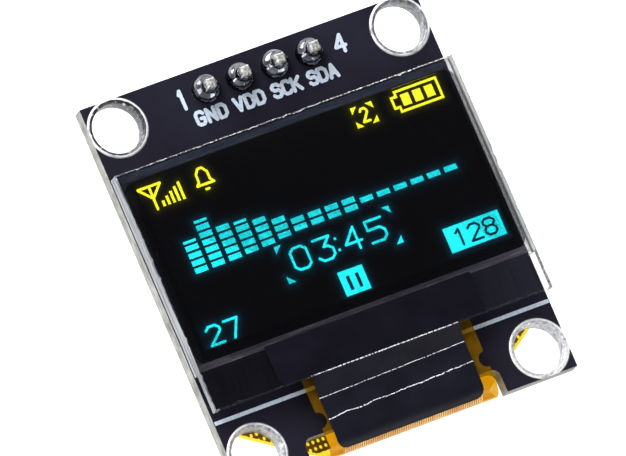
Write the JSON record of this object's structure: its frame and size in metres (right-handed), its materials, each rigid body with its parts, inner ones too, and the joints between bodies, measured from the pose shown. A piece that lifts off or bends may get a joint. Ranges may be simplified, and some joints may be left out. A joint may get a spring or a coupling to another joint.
{
  "type": "small oled display module",
  "caption": "Small OLED display module: a glass panel on a dark circuit board with a pin header, plated mounting holes and a flexible circuit folded behind the board.",
  "frame": {"origin": "centre of the four mounting holes, on the laminate's rear face", "axes": "+Z out of the display side, +Y towards the header, +X to the right as seen from the front"},
  "size_m": [0.0247, 0.0273, 0.0115],
  "materials": {
    "laminate": "matt glass-fibre laminate, pale grey-green at its cut edges",
    "solder_mask": "satin near-black solder mask",
    "tin_plate": "bright tin plating",
    "black_plastic": "moulded black plastic",
    "pin_metal": "tin-plated brass",
    "solder": "mirror-bright solder",
    "white_ink": "printed legend, pale blue-white",
    "foam": "black double-sided foam tape",
    "cover_glass": "polished sheet glass with cut edges",
    "desiccant": "white drying sheet",
    "sealant": "cured adhesive",
    "emitter": "thin black film stack",
    "lit_yellow": "lit yellow picture elements",
    "lit_cyan": "lit cyan picture elements",
    "clear_glass": "polished sheet glass with cut edges",
    "polariser": "dark glossy film",
    "silicon": "bare silicon, dark grey",
    "bond_film": "conductive adhesive film",
    "polyimide": "amber polyimide with copper tracks",
    "black_tape": "satin black adhesive tape",
    "chip_plastic": "moulded black epoxy",
    "capacitor_ceramic": "matt tan ceramic",
    "resistor_black": "black glass coat over alumina"
  },
  "bodies": {
    "root": {"circuit_board": "laminate", "front_solder_mask": "solder_mask", "rear_solder_mask": "solder_mask", "hole_plating": "tin_plate", "header_lands": "tin_plate", "header_base": "black_plastic", "header_pin_1": "pin_metal", "header_pin_2": "pin_metal", "header_pin_3": "pin_metal", "header_pin_4": "pin_metal", "solder_joint_1": "solder", "solder_joint_2": "solder", "solder_joint_3": "solder", "solder_joint_4": "solder", "legend_ink": "white_ink", "foam_tape": "foam", "rear_cover_glass": "cover_glass", "desiccant_sheet": "desiccant", "seal_bead": "sealant", "emitter_layer": "emitter", "lit_icons": "lit_yellow", "lit_graphics": "lit_cyan", "front_glass": "clear_glass", "polariser_film": "polariser", "driver_chip": "silicon", "chip_bond_film": "bond_film", "flex_circuit": "polyimide", "flex_bond_film": "bond_film", "cover_tape": "black_tape", "flex_solder_joints": "solder", "voltage_regulator": "chip_plastic", "regulator_leads": "tin_plate", "capacitor_bodies": "capacitor_ceramic", "capacitor_ends": "tin_plate", "resistor_bodies": "resistor_black", "resistor_ends": "tin_plate", "part_solder": "solder"}
  },
  "joints": []
}
